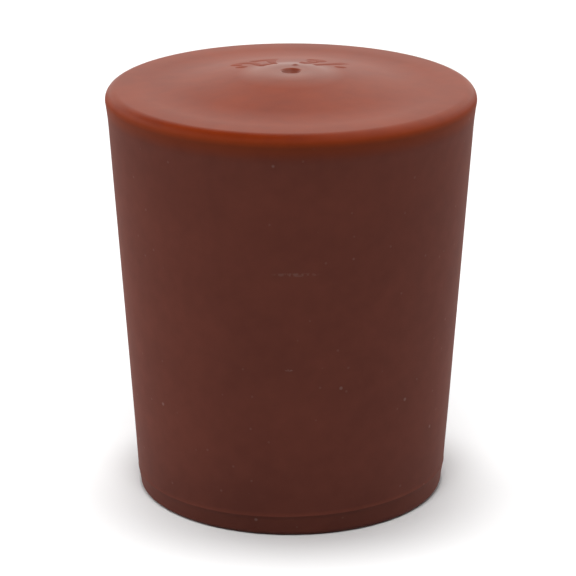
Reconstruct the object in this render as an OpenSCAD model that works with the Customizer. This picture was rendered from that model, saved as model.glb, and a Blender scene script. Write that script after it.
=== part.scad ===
// Laboratory rubber stopper, moulded in one piece and turned about one axis.
// The origin is the centre of the flat small end. The axis runs along +Z to the large end.

/* [Taper] */
// Diameter of the large end, measured on the line of the side
top_d = 27; // [22:0.5:36]
// Diameter at which the line of the side meets the base plane
foot_d = 23; // [16:0.5:26]
// Height from the base to the flat margin of the top face
rim_h = 30.75; // [20:0.05:50]

/* [Rim] */
// Radius of the rounded edge around the top face
rim_round = 0.8; // [0.3:0.05:1.5]
// How far the rounded edge stands out beyond the line of the side
rim_bead = 0.09; // [0.03:0.01:0.2]
// Radius of the shallow neck that runs from the rounded edge into the side
neck_round = 20; // [4:1:40]
// Width of the flat margin between the rounded edge and the crown
margin_w = 1.5; // [0.5:0.1:3]

/* [Crown] */
// Height of the crown above the flat margin
crown_rise = 1.15; // [0.4:0.05:1.6]
// Diameter of the flat on top of the crown
plateau_d = 2.8; // [2.4:0.2:8]
// Radius of the shoulder that turns from the flat down to the flank
shoulder_round = 8; // [2:0.5:14]
// Radius of the hollow that turns from the flank out to the margin
hollow_round = 20; // [4:0.5:24]

/* [Dimple] */
// Diameter of the dimple in the middle of the crown, measured without its rounded lip
dimple_d = 1.3; // [0.8:0.1:2]
// Depth of the dimple below the flat of the crown
dimple_depth = 0.55; // [0.2:0.05:0.65]
// Radius of the rounded lip around the dimple
dimple_lip = 0.15; // [0.05:0.05:0.4]

/* [Pip] */
// Diameter of the small moulded pip beside the dimple
pip_d = 0.7; // [0.6:0.1:1]
// Height of the pip above the flat of the crown
pip_rise = 0.25; // [0.1:0.05:0.3]
// Distance of the pip from the axis
pip_out = 1.8; // [1.6:0.1:2]
// Direction of the pip, as an angle from +X towards +Y
pip_turn = 80; // [0:5:355]

/* [Foot] */
// Height of the mould's parting line above the base
parting_h = 1.6; // [1.2:0.1:3]
// How far the foot band lies inside the line of the side
parting_step = 0.2; // [0.05:0.05:0.5]
// Height over which the foot band steps in below the parting line
parting_drop = 0.5; // [0.2:0.05:0.7]
// Radius of the thread of flash that stands on the parting line
flash_round = 0.12; // [0.05:0.01:0.2]
// Radius of the rounded edge around the base
foot_round = 0.4; // [0.1:0.05:0.5]

/* [Hidden] */
$fn = 96;
rubber_red = [0.46, 0.21, 0.15];

// Depth to which straight stretches run into the arcs they meet, so that the two cross cleanly
seam = 0.0005;

// Rim: the side runs up from the base to the neck, and the arc of the neck touches both it and the rim
rim_centre = [top_d / 2 + rim_bead - rim_round, rim_h - rim_round];
to_rim = rim_centre - [foot_d / 2, 0];
side_inset = rim_round - rim_bead;
side_lean = 90 - atan2(to_rim.y, to_rim.x) + asin(side_inset / norm(to_rim));
side_normal = [cos(side_lean), -sin(side_lean)];
side_up = [sin(side_lean), cos(side_lean)];
neck_drop = sqrt(rim_bead * (2 * (neck_round + rim_round) - rim_bead));
neck_foot = rim_centre + side_inset * side_normal - neck_drop * side_up;
neck_centre = neck_foot + (neck_round - seam) * side_normal;
to_neck = neck_centre - rim_centre;
neck_top = rim_centre + (rim_round - seam) * to_neck / norm(to_neck);

// Foot: the band runs beside the line of the side, and an arc joins it to the base
function side_r(z) = foot_d / 2 + z * tan(side_lean);
function band_r(z) = side_r(z) - parting_step;
band_top_h = parting_h - parting_drop;
foot_centre = [band_r(foot_round) - foot_round / cos(side_lean), foot_round];
foot_touch = foot_centre + (foot_round - seam) * side_normal;

// Crown: a flat, a shoulder arc, a straight flank, and a hollow arc that ends on the margin.
// Where the two arcs are too large for the crown, both shrink until a short flank is left.
crown_r = rim_centre.x - margin_w;
crown_h = rim_h + crown_rise;
plateau_r = plateau_d / 2;
flank_run = crown_r - plateau_r;
arc_fill = 0.98;
arc_limit = arc_fill * (pow(flank_run, 2) + pow(crown_rise, 2)) / (2 * crown_rise);
arc_share = min(1, arc_limit / (shoulder_round + hollow_round));
shoulder_r = shoulder_round * arc_share;
hollow_r = hollow_round * arc_share;
shoulder_centre = [plateau_r, crown_h - shoulder_r + seam];
hollow_centre = [crown_r, rim_h + hollow_r - seam];
across_arcs = hollow_centre - shoulder_centre;
flank_turn = acos((shoulder_r + hollow_r) / norm(across_arcs));
flank_slope = 90 - atan2(across_arcs.y, across_arcs.x) - flank_turn;
flank_normal = [sin(flank_slope), cos(flank_slope)];
flank_top = shoulder_centre + (shoulder_r - seam) * flank_normal;
flank_foot = hollow_centre - (hollow_r - seam) * flank_normal;

// Dimple: a ball, with a lip arc that touches both the ball and the flat of the crown
ball_r = (pow(dimple_d / 2, 2) + pow(dimple_depth, 2)) / (2 * dimple_depth);
ball_centre = [0, crown_h - dimple_depth + ball_r];
lip_h = crown_h - dimple_lip;
lip_centre = [sqrt(pow(ball_r + dimple_lip, 2) - pow(ball_centre.y - lip_h, 2)), lip_h];

// Half section of the foot, the tapered side and the rim, up to the flat margin
module plug_section() {
    difference() {
        polygon([
            [0, 0],
            [foot_centre.x, 0],
            foot_touch,
            [band_r(band_top_h), band_top_h],
            [side_r(parting_h), parting_h],
            neck_foot,
            neck_top,
            rim_centre,
            [rim_centre.x, rim_h],
            [0, rim_h],
        ]);
        translate(neck_centre) circle(r = neck_round);
    }
    translate(foot_centre) circle(r = foot_round);
    translate(rim_centre) circle(r = rim_round);
    translate([side_r(parting_h), parting_h]) circle(r = flash_round);
}

// Half section of the crown, which rises out of the flat margin
module crown_section() {
    root_h = rim_h / 2;
    difference() {
        polygon([
            [0, root_h],
            [crown_r, root_h],
            [crown_r, rim_h],
            flank_foot,
            flank_top,
            [plateau_r, crown_h],
            [0, crown_h],
        ]);
        translate(hollow_centre) circle(r = hollow_r);
    }
    intersection() {
        translate(shoulder_centre) circle(r = shoulder_r);
        translate([0, root_h]) square([(flank_top.x + flank_foot.x) / 2, crown_h - root_h]);
    }
}

// Half section of the space that the dimple takes out of the crown
module dimple_section() {
    mouth_h = crown_h + ball_r;
    difference() {
        union() {
            translate(ball_centre) circle(r = ball_r);
            polygon([
                ball_centre,
                lip_centre,
                [lip_centre.x, mouth_h],
                [0, mouth_h],
            ]);
        }
        translate(lip_centre) circle(r = dimple_lip + seam);
    }
}

module stopper() {
    color(rubber_red)
    union() {
        rotate_extrude()
        difference() {
            union() {
                plug_section();
                crown_section();
            }
            dimple_section();
        }
        rotate(pip_turn)
        translate([pip_out, 0, crown_h + pip_rise - pip_d / 2])
        sphere(d = pip_d);
    }
}

stopper();
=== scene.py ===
"""Moulded red rubber stopper on a white studio floor, seen from slightly above."""
import math

import bmesh
import bpy
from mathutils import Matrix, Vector


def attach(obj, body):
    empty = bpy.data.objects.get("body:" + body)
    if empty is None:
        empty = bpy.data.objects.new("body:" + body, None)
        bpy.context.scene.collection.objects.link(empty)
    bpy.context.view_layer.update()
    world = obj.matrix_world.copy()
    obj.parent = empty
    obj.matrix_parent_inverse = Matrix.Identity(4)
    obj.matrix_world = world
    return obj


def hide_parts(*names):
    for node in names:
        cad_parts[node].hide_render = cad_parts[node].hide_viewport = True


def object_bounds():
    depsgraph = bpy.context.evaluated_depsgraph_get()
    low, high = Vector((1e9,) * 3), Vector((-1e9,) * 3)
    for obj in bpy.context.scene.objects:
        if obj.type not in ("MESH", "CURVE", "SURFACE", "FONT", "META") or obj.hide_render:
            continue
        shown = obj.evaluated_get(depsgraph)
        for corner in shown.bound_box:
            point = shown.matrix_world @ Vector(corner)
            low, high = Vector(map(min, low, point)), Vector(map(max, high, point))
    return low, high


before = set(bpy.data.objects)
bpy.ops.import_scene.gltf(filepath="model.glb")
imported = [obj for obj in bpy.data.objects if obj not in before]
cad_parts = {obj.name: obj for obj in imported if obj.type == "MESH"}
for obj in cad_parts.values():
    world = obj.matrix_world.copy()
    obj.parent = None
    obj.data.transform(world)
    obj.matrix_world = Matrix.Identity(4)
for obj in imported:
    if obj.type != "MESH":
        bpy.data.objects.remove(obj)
cad_low, cad_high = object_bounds()

MM = 0.001

# Sizes are in millimetres and turns in degrees. Points nearer to each other than this are one point.
WELD = 0.0001

# Side and rim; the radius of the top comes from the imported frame
TOP_R = cad_high.x / MM
FOOT_R = 11.5
RIM_H = 30.75
RIM_ROUND = 0.8
RIM_BEAD = 0.09
NECK_ROUND = 20.0

# From the margin the surface rolls softly into the rounded rim: radius, and where the rim takes over
ROLL_R = 1.0
ROLL_OUT = 24.0

# The margin beside the rim bulges by about a tenth: radius, and how far it tips inwards and outwards
CREST_R = 22.0
CREST_IN = 2.0
CREST_OUT = 3.0

# Small moulded pip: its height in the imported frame, how much of that is worn away, and its foot and place
PIP_RISE = 0.25
PIP_WORN = 0.17
PIP_FOOT = 0.4
PIP_OUT = 1.8
PIP_TURN = 80.0

# Crown, with a dimple in its middle
CROWN_H = cad_high.z / MM - PIP_RISE
PLATEAU_R = 1.4
SHOULDER_R = 8.0
HOLLOW_R = 16.0
DIMPLE_R = 0.7
DIMPLE_DEPTH = 0.55
DIMPLE_LIP = 0.2

# Foot: the mould's parting line, the band that steps in below it, and the flash, rubbed down to a low ridge
PARTING_H = 1.6
PARTING_STEP = 0.1
PARTING_DROP = 1.1
FLASH_ROUND = 0.12
FLASH_PROUD = 0.02
FOOT_ROUND = 0.4

# The parting line stands a little askew: rise per millimetre towards +X, and how high up the side it fades
PARTING_TILT = 0.0213
TILT_FADE = 6.0

# Raised digits: height, radius of their foot line, how far they stand proud and are sunk in, width of
# their soft edge, and the turn that they span
DIGITS = "\u00b727  31\u00b7"
DIGIT_H = 3.2
DIGIT_FOOT = 2.9
DIGIT_RAISE = 0.05
DIGIT_SINK = 0.008
DIGIT_EDGE = 0.34
DIGIT_SPAN = 120.0

# Mesh of the digits: height of a digit in a font of size 1, gaps at corners that are closed, and the length
# from which edges are halved
FONT_DIGIT_H = 0.7
DIGIT_WELD = 0.01
DIGIT_STEP = 0.25

# Lathe: longest straight step along the profile, the finer step around the pip, and steps once round
PROFILE_STEP = 0.3
PIP_STEP = 0.05
LATHE_STEPS = 240

# Heights between which one finish of the rubber turns into the next: painted shade at the foot, bloom with
# painted haze, the rubbed edge with painted light, and the skin of the top
FOOT_SHADE_END = (2.5, 7.0)
BLOOM_AND_HAZE_END = (RIM_H - 2.15, RIM_H - 0.55)
RUB_AND_LIGHT_START = (RIM_H - 1.85, RIM_H - 1.15)
RUB_AND_LIGHT_END = (RIM_H - 0.75, RIM_H - 0.25)
SKIN_START = (RIM_H - 0.55, RIM_H - 0.15)

# Distances from the axis at which the bowl of the dimple and the shiny disc around it end
BOWL_END = (0.6, 0.8)
DISC_END = (2.6, 4.0)

# Darkest and lightest red of the milled rubber, bare and under a grey layer that is partly bloom and partly
# painted haze, the values of the clouds at which they stand, and how much of the clouds is fine flecks
BARE_REDS = ("#742608", "#822E0A")
BLOOM_AND_HAZE_REDS = ("#71372A", "#7E4032")
CLOUD_RANGE = (0.35, 0.65)
FLECK_SHARE = 0.4

# Roughness of the side, which is dull from handling
SIDE_ROUGHNESS = 0.78

# Wear on the side: middle, half size and strength of a dashed scuff and of a pale nick
SIDE_MARKS = [
    ((0.35, -12.8, 20.5), (1.9, 1.0, 0.17), 0.3),
    ((-0.15, -12.4, 13.2), (0.32, 1.0, 0.09), 0.6),
]

# Dust on the side: spacing, and how near to its middle a speck starts and ends, and its strength
SIDE_DUST = [
    (3.2, 0.08, 0.16, 0.6),
    (1.4, 0.06, 0.12, 0.22),
]

# Studio: half width of the floor, the rise of the directions between which the walls end, and how much
# farther up they reach on the right
FLOOR_HALF = 3000.0
WALL_END = (0.62, 0.9)
WALL_LEAN = 1.2

# Soft lamps: level, turn above the floor, turn from the camera's side towards the right, and spread
LAMPS = {
    "front_high": (0.48, 65, 0, 25),
    "behind": (0.56, 85, 180, 16),
    "back_left": (0.48, 15, -115, 60),
    "front_left": (0.08, 35, -75, 60),
    "back_right": (0.28, 15, 115, 60),
}

# Camera, and where the axis of the stopper stands in the picture, in pixels
PICTURE_W = 576
AXIS_X = 291.056
CAMERA_AWAY = 202.75
CAMERA_H = 84.27
CAMERA_PITCH = 18.8216
LENS = 179.04
SENSOR = 36.0


def linear(hex_colour):
    """Turns an sRGB hex colour into the linear values that shaders take."""
    channels = [int(hex_colour[i:i + 2], 16) / 255 for i in (1, 3, 5)]
    return [c / 12.92 if c <= 0.04045 else ((c + 0.055) / 1.055) ** 2.4 for c in channels] + [1.0]


def node(tree, kind, inputs=None, **settings):
    """Adds a node with its settings. An input given as a socket is linked, and any other is set."""
    made = tree.nodes.new("ShaderNode" + kind)
    for name, value in settings.items():
        setattr(made, name, value)
    for name, value in (inputs or {}).items():
        if isinstance(value, bpy.types.NodeSocket):
            tree.links.new(value, made.inputs[name])
        else:
            made.inputs[name].default_value = value
    return made


def empty_tree(owner):
    """Turns on the nodes of a material or a world and clears them."""
    owner.use_nodes = True
    owner.node_tree.nodes.clear()
    return owner.node_tree


def fade(value, span, start=0.0, end=1.0):
    """Inputs of a Map Range node that runs from start to end over a span in millimetres."""
    low_end, high_end = span
    return {"Value": value, "From Min": low_end * MM, "From Max": high_end * MM,
            "To Min": start, "To Max": end}


def arc(centre, radius, start, end, steps):
    """Points along an arc, angles in degrees from the outward direction towards +Z."""
    turns = [math.radians(start + (end - start) * i / steps) for i in range(steps + 1)]
    return [Vector((centre[0] + radius * math.cos(t), centre[1] + radius * math.sin(t))) for t in turns]


def tipped(degrees):
    """The upward direction of the half section, tipped outwards."""
    return Vector((math.sin(math.radians(degrees)), math.cos(math.radians(degrees))))


def spaced(points):
    """The same outline with straight stretches cut to the lathe's step, and no point twice."""
    cut = [points[0]]
    for point in points[1:]:
        start = cut[-1]
        gap = (point - start).length
        parts = math.ceil(gap / PROFILE_STEP)
        if gap > WELD:
            cut += [start.lerp(point, i / parts) for i in range(1, parts + 1)]
    return cut


def stopper_profile():
    """Half section from the bottom of the dimple, over crown and rim, down to the middle of the base."""
    ball_r = (DIMPLE_R ** 2 + DIMPLE_DEPTH ** 2) / (2 * DIMPLE_DEPTH)
    ball = Vector((0, CROWN_H - DIMPLE_DEPTH + ball_r))
    lip_h = CROWN_H - DIMPLE_LIP
    lip = Vector((math.sqrt((ball_r + DIMPLE_LIP) ** 2 - (ball.y - lip_h) ** 2), lip_h))
    lip_turn = math.degrees(math.atan2(lip.y - ball.y, lip.x))

    rim = Vector((TOP_R - RIM_ROUND, RIM_H - RIM_ROUND))
    roll = rim - (ROLL_R - RIM_ROUND) * tipped(ROLL_OUT)
    crest = roll - (CREST_R - ROLL_R) * tipped(CREST_OUT)
    hollow = crest + (CREST_R + HOLLOW_R) * tipped(-CREST_IN)
    shoulder = Vector((PLATEAU_R, CROWN_H - SHOULDER_R))
    across = hollow - shoulder
    slope = 90 - math.degrees(math.atan2(across.y, across.x))
    slope -= math.degrees(math.acos((SHOULDER_R + HOLLOW_R) / across.length))

    to_rim = rim - Vector((FOOT_R, 0))
    inset = RIM_ROUND - RIM_BEAD
    lean = 90 - math.degrees(math.atan2(to_rim.y, to_rim.x))
    lean += math.degrees(math.asin(inset / to_rim.length))
    rise = math.tan(math.radians(lean))
    outward = Vector((math.cos(math.radians(lean)), -math.sin(math.radians(lean))))
    neck_drop = math.sqrt(RIM_BEAD * (2 * (NECK_ROUND + RIM_ROUND) - RIM_BEAD))
    neck = rim + (NECK_ROUND + inset) * outward - neck_drop * Vector((-outward.y, outward.x))
    neck_turn = math.degrees(math.atan2(neck.y - rim.y, neck.x - rim.x))
    band_top = PARTING_H - PARTING_DROP
    flash = Vector((FOOT_R + PARTING_H * rise, PARTING_H)) - (FLASH_ROUND - FLASH_PROUD) * outward
    flash_turn = math.degrees(math.acos(1 - FLASH_PROUD / FLASH_ROUND))
    foot_x = FOOT_R - PARTING_STEP + FOOT_ROUND * rise - FOOT_ROUND / math.cos(math.radians(lean))

    flat_start = Vector((lip.x, CROWN_H))
    flat_end = Vector((PLATEAU_R, CROWN_H))
    flat_steps = math.ceil((PLATEAU_R - lip.x) / PIP_STEP)
    shoulder_steps = math.ceil(SHOULDER_R * math.radians(slope) / PIP_STEP)

    outline = arc(ball, ball_r, -90, lip_turn, steps=12)
    outline += arc(lip, DIMPLE_LIP, 180 + lip_turn, 90, steps=6)
    outline += [flat_start.lerp(flat_end, i / flat_steps) for i in range(flat_steps)]
    outline += arc(shoulder, SHOULDER_R, 90, 90 - slope, shoulder_steps)
    outline += arc(hollow, HOLLOW_R, 270 - slope, 270 + CREST_IN, steps=12)
    outline += arc(crest, CREST_R, 90 + CREST_IN, 90 - CREST_OUT, steps=12)
    outline += arc(roll, ROLL_R, 90 - CREST_OUT, 90 - ROLL_OUT, steps=8)
    outline += arc(rim, RIM_ROUND, 90 - ROLL_OUT, neck_turn, steps=24)
    outline += arc(neck, NECK_ROUND, 180 + neck_turn, 180 - lean, steps=8)
    outline += arc(flash, FLASH_ROUND, flash_turn - lean, -flash_turn - lean, steps=8)
    outline.append(Vector((FOOT_R - PARTING_STEP + band_top * rise, band_top)))
    outline += arc((foot_x, FOOT_ROUND), FOOT_ROUND, -lean, -90, steps=6)
    outline.append(Vector((0, 0)))
    return spaced(outline)


def new_piece(name, bm, material):
    """Puts a bmesh into the scene as a smooth piece."""
    mesh = bpy.data.meshes.new(name)
    bm.to_mesh(mesh)
    bm.free()
    mesh.materials.append(material)
    mesh.shade_smooth()
    piece = bpy.data.objects.new(name, mesh)
    bpy.context.scene.collection.objects.link(piece)
    return piece


def pip_lift(x, y):
    """How far the small moulded pip, worn to a soft bump, lifts a point of the crown."""
    turn = math.radians(PIP_TURN)
    away = math.hypot(x - PIP_OUT * math.cos(turn), y - PIP_OUT * math.sin(turn))
    return (PIP_RISE - PIP_WORN) * (1 + math.cos(math.pi * min(away / PIP_FOOT, 1))) / 2


def parting_lift(x, z):
    """How far the askew parting line lifts a point of the side; nothing at the base and higher up."""
    up = min(z / (PARTING_H - PARTING_DROP), 1)
    down = min(max((PARTING_H + TILT_FADE - z) / (TILT_FADE - PARTING_DROP), 0), 1)
    return PARTING_TILT * x * up * down ** 2


def turned_body(outline, material):
    """The whole plug, lathed from its half section, with the pip and the askew parting line pressed in."""
    bm = bmesh.new()
    points = [bm.verts.new((p.x * MM, 0, p.y * MM)) for p in outline]
    edges = [bm.edges.new(pair) for pair in zip(points, points[1:])]
    bmesh.ops.spin(bm, geom=points + edges, cent=(0, 0, 0), axis=(0, 0, 1),
                   angle=2 * math.pi, steps=LATHE_STEPS, use_merge=True)
    bmesh.ops.remove_doubles(bm, verts=bm.verts, dist=WELD * MM)
    bmesh.ops.recalc_face_normals(bm, faces=bm.faces)
    for vert in bm.verts:
        x, y, z = vert.co / MM
        if z > RIM_H:
            vert.co.z += pip_lift(x, y) * MM
        elif z < PARTING_H + TILT_FADE:
            vert.co.z += parting_lift(x, z) * MM
    return new_piece("stopper_body", bm, material)


def crown_height(outline, r):
    """Height of the crown at a distance from the axis, read off the half section."""
    crown = [p for p in outline if p.y > RIM_H]
    for inner, outer in zip(crown, crown[1:]):
        if inner.x <= r <= outer.x:
            return inner.lerp(outer, (r - inner.x) / (outer.x - inner.x)).y
    return RIM_H


def flat_digits():
    """The digits as a flat mesh in millimetres, rounded all round and cut finely enough to bend."""
    text = bpy.data.curves.new("digits", "FONT")
    text.body = DIGITS
    text.align_x = "CENTER"
    text.size = DIGIT_H / FONT_DIGIT_H
    text.bevel_depth = DIGIT_EDGE
    text.bevel_resolution = 3
    text.resolution_u = 6
    flat = bpy.data.objects.new("digits", text)
    bpy.context.scene.collection.objects.link(flat)
    shape = bpy.data.meshes.new_from_object(flat.evaluated_get(bpy.context.evaluated_depsgraph_get()))
    bpy.data.objects.remove(flat)
    bm = bmesh.new()
    bm.from_mesh(shape)
    bmesh.ops.triangulate(bm, faces=bm.faces)
    bmesh.ops.remove_doubles(bm, verts=bm.verts, dist=DIGIT_WELD)
    for _ in range(2):
        long_edges = [edge for edge in bm.edges if edge.calc_length() > DIGIT_STEP]
        bmesh.ops.subdivide_edges(bm, edges=long_edges, cuts=1)
        bmesh.ops.triangulate(bm, faces=bm.faces)
    return bm


def drop_folds(bm):
    """Deletes slivers of the digits' corners that lie flat on each other in pairs, and joins their edges."""
    folded = {}
    for face in bm.faces:
        corners = frozenset(tuple(round(c / (WELD * MM)) for c in vert.co) for vert in face.verts)
        folded.setdefault(corners, []).append(face)
    pairs = [face for faces in folded.values() if len(faces) > 1 for face in faces]
    bmesh.ops.delete(bm, geom=pairs, context="FACES")
    bmesh.ops.remove_doubles(bm, verts=bm.verts, dist=WELD * MM)


def raised_digits(outline, material):
    """Plain raised digits, bent round the crown behind the dimple."""
    bm = flat_digits()
    half_width = max(vert.co.x for vert in bm.verts)
    for vert in bm.verts:
        turn = math.radians(DIGIT_SPAN / 2) * vert.co.x / half_width
        r = DIGIT_FOOT + vert.co.y
        inwards = 1 - math.sqrt(max(1 - (vert.co.z / DIGIT_EDGE) ** 2, 0))
        proud = math.copysign(DIGIT_RAISE * inwards ** 2 * (3 - 2 * inwards), vert.co.z)
        z = crown_height(outline, r) + proud - DIGIT_SINK
        vert.co = Vector((r * math.sin(turn), r * math.cos(turn), z)) * MM
    drop_folds(bm)
    bmesh.ops.recalc_face_normals(bm, faces=bm.faces)
    return new_piece("raised_digits", bm, material)


def rubber_colour(tree, spot, away, z, top):
    """Colour of the rubber with its bloom and painted haze, and over it painted shade at the foot, painted
    light on the rim, and what use has left on side, rim and top.
    """
    # Milled rubber is cloudy, in patches about 6 mm and 1.2 mm across. A thin grey layer, as cloudy as the
    # rubber, lies on the side and is rubbed off the rim: partly bloom that has come out, partly painted haze
    # of reflected light.
    clouds = node(tree, "TexNoise", {"Vector": spot, "Scale": 1 / (6 * MM), "Detail": 2.0})
    flecks = node(tree, "TexNoise", {"Vector": spot, "Scale": 1 / (1.2 * MM), "Detail": 3.0})
    blend = node(tree, "Mix", {0: FLECK_SHARE, 2: clouds.outputs[0], 3: flecks.outputs[0]})
    reds = []
    for colours in (BARE_REDS, BLOOM_AND_HAZE_REDS):
        red = node(tree, "ValToRGB", {"Fac": blend.outputs[0]})
        for element, position, colour in zip(red.color_ramp.elements, CLOUD_RANGE, colours):
            element.position = position
            element.color = linear(colour)
        reds.append(red.outputs[0])
    bloom_and_haze = node(tree, "MapRange", fade(z, BLOOM_AND_HAZE_END, start=1.0, end=0.0))
    surface = node(tree, "Mix", {0: bloom_and_haze.outputs[0], 6: reds[0], 7: reds[1]}, data_type="RGBA")

    # Painted shade: the foot is painted a little darker, fading out upwards, for the shade where it stands
    # on the floor
    foot_shade = node(tree, "MapRange", fade(z, FOOT_SHADE_END, start=0.16, end=0.0))
    coats = [(foot_shade, "#1E0D09")]

    # Handling and painted light: the edge just under the rim is rubbed bright, and painted brighter for the
    # light the rim catches
    under = node(tree, "MapRange", fade(z, RUB_AND_LIGHT_START))
    over = node(tree, "MapRange", fade(z, RUB_AND_LIGHT_END, start=0.33, end=0.0))
    edge = node(tree, "Math", {0: under.outputs[0], 1: over.outputs[0]}, operation="MULTIPLY")
    # Painted haze: the dimple keeps a pale colour, partly bloom that stays there and partly painted haze of
    # reflected light
    bowl = node(tree, "MapRange", fade(away, BOWL_END, start=1.0, end=0.0))
    bloom_and_haze_in_dimple = node(tree, "Math", {0: bowl.outputs[0], 1: top}, operation="MULTIPLY")
    coats += [(edge, "#A5440E"), (bloom_and_haze_in_dimple, "#884C3E")]

    # Dust: pale specks up to 0.3 mm across, a few strong ones and many faint ones, only on the side under
    # the grey layer of bloom and painted haze
    for spacing, inner, outer, strength in SIDE_DUST:
        grit = node(tree, "TexVoronoi", {"Vector": spot, "Scale": 1 / (spacing * MM)})
        speck = node(tree, "MapRange", {
            "Value": grit.outputs["Distance"], "From Min": inner / spacing, "From Max": outer / spacing,
            "To Min": strength, "To Max": 0.0})
        patch = node(tree, "Math", {0: speck.outputs[0], 1: bloom_and_haze.outputs[0]}, operation="MULTIPLY")
        coats.append((patch, "#A08078"))

    # Scuff and nick: pale rubbed places, broken up into dashes about 0.25 mm long
    dashes = node(tree, "TexNoise", {"Vector": spot, "Scale": 1 / (0.25 * MM), "Detail": 1.0})
    broken = node(tree, "MapRange", {"Value": dashes.outputs[0], "From Min": 0.4, "From Max": 0.6})
    for middle, half, strength in SIDE_MARKS:
        place = node(tree, "Mapping", {
            "Vector": spot, "Location": Vector(middle) * MM, "Scale": Vector(half) * MM},
            vector_type="TEXTURE")
        reach = node(tree, "VectorMath", {0: place.outputs[0]}, operation="LENGTH")
        rubbed = node(tree, "MapRange", {
            "Value": reach.outputs["Value"], "From Min": 0.5, "From Max": 1.0,
            "To Min": strength, "To Max": 0.0})
        patch = node(tree, "Math", {0: rubbed.outputs[0], 1: broken.outputs[0]}, operation="MULTIPLY")
        coats.append((patch, "#A58A80"))

    for coat, colour in coats:
        surface = node(tree, "Mix", {
            0: coat.outputs[0], 6: surface.outputs[2], 7: linear(colour)}, data_type="RGBA")
    return surface.outputs[2]


def moulded_red_rubber(name, disc, face):
    """Moulded red natural rubber. The side is dull from handling, the pressed top face keeps the skin of the
    mould, and disc and face are the roughness of the middle of the crown and of the rest of the top."""
    material = bpy.data.materials.new(name)
    tree = empty_tree(material)
    spot = node(tree, "TexCoord").outputs["Object"]
    x, y, z = node(tree, "SeparateXYZ", {0: spot}).outputs
    level = node(tree, "CombineXYZ", {0: x, 1: y})
    away = node(tree, "VectorMath", {0: level.outputs[0]}, operation="LENGTH").outputs["Value"]

    # Finish: dull side, satin top face above the rounded rim, and a disc in the middle that can be shinier
    top = node(tree, "MapRange", fade(z, SKIN_START)).outputs[0]
    satin = node(tree, "MapRange", fade(away, DISC_END, start=disc, end=face))
    finish = node(tree, "Mix", {0: top, 2: SIDE_ROUGHNESS, 3: satin.outputs[0]})

    # Skin: a soft waviness of 2.5 mm, and moulded grain that is drawn 0.16 mm wide, as finer would not show
    grain = node(tree, "TexNoise", {"Vector": spot, "Scale": 1 / (0.16 * MM), "Detail": 2.0})
    waves = node(tree, "TexNoise", {"Vector": spot, "Scale": 1 / (2.5 * MM), "Detail": 1.0})
    rough_skin = node(tree, "Bump", {"Height": grain.outputs[0], "Strength": 0.15, "Distance": 0.02 * MM})
    wavy_skin = node(tree, "Bump", {
        "Height": waves.outputs[0], "Normal": rough_skin.outputs[0], "Strength": 0.3, "Distance": 0.05 * MM})
    rubber = node(tree, "BsdfPrincipled", {
        "Base Color": rubber_colour(tree, spot, away, z, top), "Roughness": finish.outputs[0], "IOR": 1.5,
        "Normal": wavy_skin.outputs[0]})
    node(tree, "OutputMaterial", {"Surface": rubber.outputs[0]})
    return material


def seen_directly(tree):
    """1 where the camera, a reflection or a clear material sees the surface, and 0 where light bounces."""
    path = node(tree, "LightPath")
    mirrored = node(tree, "Math", {
        0: path.outputs["Is Camera Ray"], 1: path.outputs["Is Glossy Ray"]}, operation="MAXIMUM")
    return node(tree, "Math", {
        0: mirrored.outputs[0], 1: path.outputs["Is Transmission Ray"]}, operation="MAXIMUM").outputs[0]


def studio_floor():
    """A white floor that keeps the shadow and throws little light back up."""
    material = bpy.data.materials.new("white studio floor")
    tree = empty_tree(material)
    white = node(tree, "BsdfDiffuse", {"Color": linear("#F9F9F9")})
    dim = node(tree, "BsdfDiffuse", {"Color": linear("#595959")})
    mixed = node(tree, "MixShader", {0: seen_directly(tree), 1: dim.outputs[0], 2: white.outputs[0]})
    node(tree, "OutputMaterial", {"Surface": mixed.outputs[0]})
    bm = bmesh.new()
    bmesh.ops.create_grid(bm, x_segments=1, y_segments=1, size=FLOOR_HALF * MM)
    floor = new_piece("studio_floor", bm, material)


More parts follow.
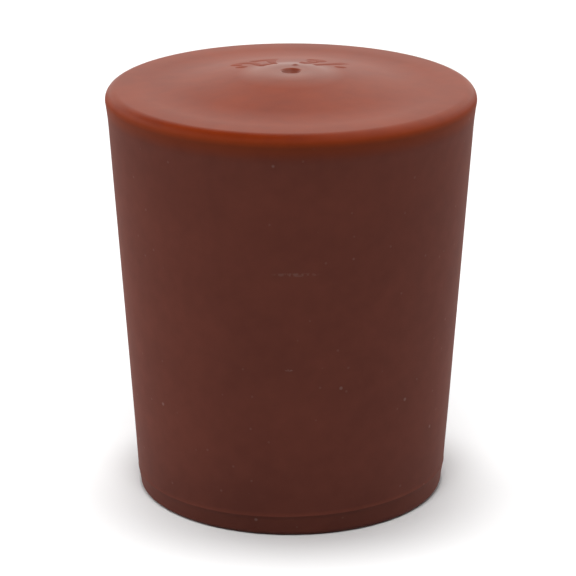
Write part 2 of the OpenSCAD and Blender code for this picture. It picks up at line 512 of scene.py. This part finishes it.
def studio_world():
    """White to the camera. Reflections see warm white walls, higher on the right than on the left, and a
    dark ceiling."""
    world = bpy.data.worlds.new("white studio")
    bpy.context.scene.world = world
    tree = empty_tree(world)
    x, _, z = node(tree, "SeparateXYZ", {0: node(tree, "TexCoord").outputs["Generated"]}).outputs
    leftward = node(tree, "Math", {0: x, 1: -WALL_LEAN, 2: 1.0}, operation="MULTIPLY_ADD")
    height = node(tree, "Math", {0: z, 1: leftward.outputs[0]}, operation="MULTIPLY")
    wall = node(tree, "MapRange", {
        "Value": height.outputs[0], "From Min": WALL_END[0], "From Max": WALL_END[1],
        "To Min": 1.0, "To Max": 0.0})
    walls = node(tree, "Background", {"Color": linear("#FFFBF4"), "Strength": wall.outputs[0]})
    white = node(tree, "Background", {"Color": linear("#FFFFFF")})
    shown = node(tree, "MixShader", {
        0: node(tree, "LightPath").outputs["Is Camera Ray"], 1: walls.outputs[0], 2: white.outputs[0]})
    unlit = node(tree, "Background", {"Color": linear("#000000")})
    mixed = node(tree, "MixShader", {0: seen_directly(tree), 1: unlit.outputs[0], 2: shown.outputs[0]})
    node(tree, "OutputWorld", {"Surface": mixed.outputs[0]})


def soft_lamp(name, level, elevation, azimuth, spread):
    """A distant soft source. Level 1 lights a white surface that faces it to white."""
    lamp = bpy.data.lights.new(name, "SUN")
    lamp.energy = level * math.pi
    lamp.angle = math.radians(spread)
    source = bpy.data.objects.new(name, lamp)
    lift, turn = math.radians(elevation), math.radians(azimuth)
    towards = Vector((math.sin(turn) * math.cos(lift), -math.cos(turn) * math.cos(lift), math.sin(lift)))
    source.rotation_euler = towards.to_track_quat("Z", "Y").to_euler()
    source.location = towards
    source.visible_glossy = False
    bpy.context.scene.collection.objects.link(source)


def studio_camera():
    """The camera at the picture's angle."""
    lens = bpy.data.cameras.new("camera")
    lens.lens = LENS
    lens.sensor_width = SENSOR
    lens.shift_x = (PICTURE_W / 2 - AXIS_X) / PICTURE_W
    lens.clip_start = 0.01
    camera = bpy.data.objects.new("camera", lens)
    camera.location = (0, -CAMERA_AWAY * MM, CAMERA_H * MM)
    camera.rotation_euler = (math.radians(90 - CAMERA_PITCH), 0, 0)
    bpy.context.scene.collection.objects.link(camera)
    bpy.context.scene.camera = camera


# The middle of the crown is pressed by a polished plug of the mould and shines most at a low angle. The
# digits are pressed by etched hollows, which leave them dull.
satin_rubber = moulded_red_rubber("satin moulded red natural rubber", disc=0.29, face=0.43)
etched_rubber = moulded_red_rubber("red natural rubber from an etched mould", disc=0.54, face=0.54)
half_section = stopper_profile()
body = turned_body(half_section, satin_rubber)
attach(body, "root")
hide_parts("stopper")
digits = raised_digits(half_section, etched_rubber)
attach(digits, "root")

studio_floor()
studio_world()
for lamp_name, settings in LAMPS.items():
    soft_lamp(lamp_name, *settings)
studio_camera()
bpy.context.scene.view_settings.view_transform = "Standard"
